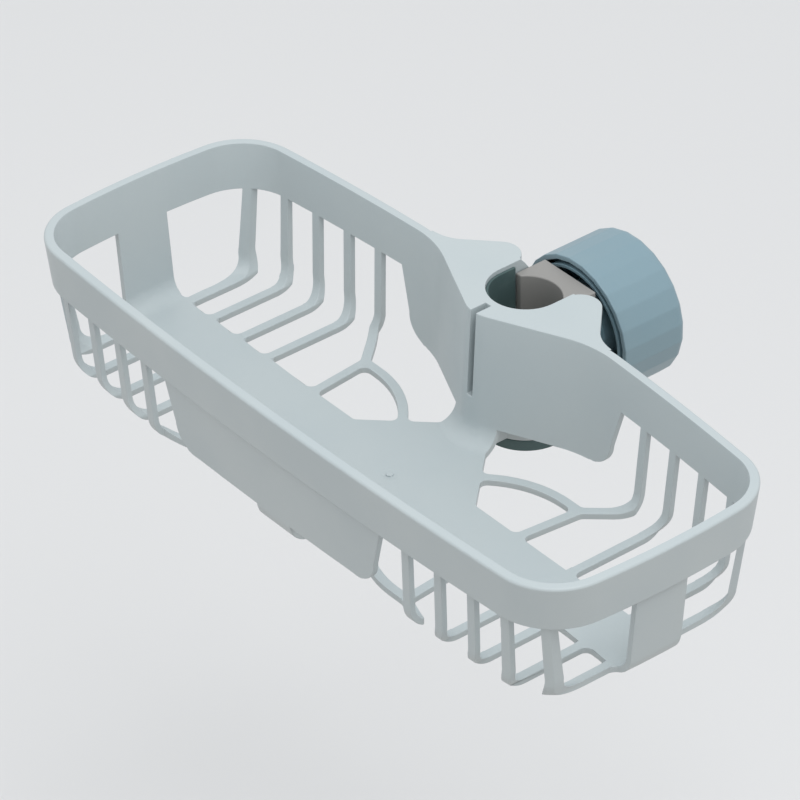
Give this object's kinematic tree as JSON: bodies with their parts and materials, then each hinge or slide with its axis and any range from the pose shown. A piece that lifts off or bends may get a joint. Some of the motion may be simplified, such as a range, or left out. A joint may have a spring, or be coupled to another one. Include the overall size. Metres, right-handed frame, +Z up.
{
  "type": "sponge holder",
  "caption": "Long open plastic tray with wrapped drain windows that clamps on an upright tube: a lined channel behind the tray is closed by a presser driven by a large faceted knob.",
  "frame": {"origin": "on the tube's axis, where the knob's axis crosses it, at half the tray's height", "axes": "+X along the tray, +Y back towards the knob, +Z up along the tube"},
  "size_m": [0.2698, 0.1552, 0.0544],
  "materials": {
    "basket": "fine matte moulded polypropylene, pale blue grey",
    "liner": "soft matt rubber, dark teal",
    "presser": "matte moulded plastic, warm grey",
    "screw": "satin moulded plastic, blue grey",
    "grip": "satin moulded plastic, blue grey"
  },
  "bodies": {
    "frame": {"basket": "basket", "clamp_liner": "liner"},
    "presser": {"presser": "presser"},
    "knob": {"knob_screw": "screw", "knob_grip": "grip"}
  },
  "joints": [
    {"name": "presser_slide", "type": "slide", "parent": "frame", "child": "presser", "axis": [0, 1, 0], "range_m": [0, 0.003]},
    {"name": "knob_turn", "type": "hinge", "parent": "presser", "child": "knob", "pos_m": [0, 0.034, 0], "axis": [0, 1, 0], "range_deg": [0, 360]}
  ],
  "couplings": [
    {"joint": "presser_slide", "follows": "knob_turn", "m_per_rad": 0.00047746}
  ]
}
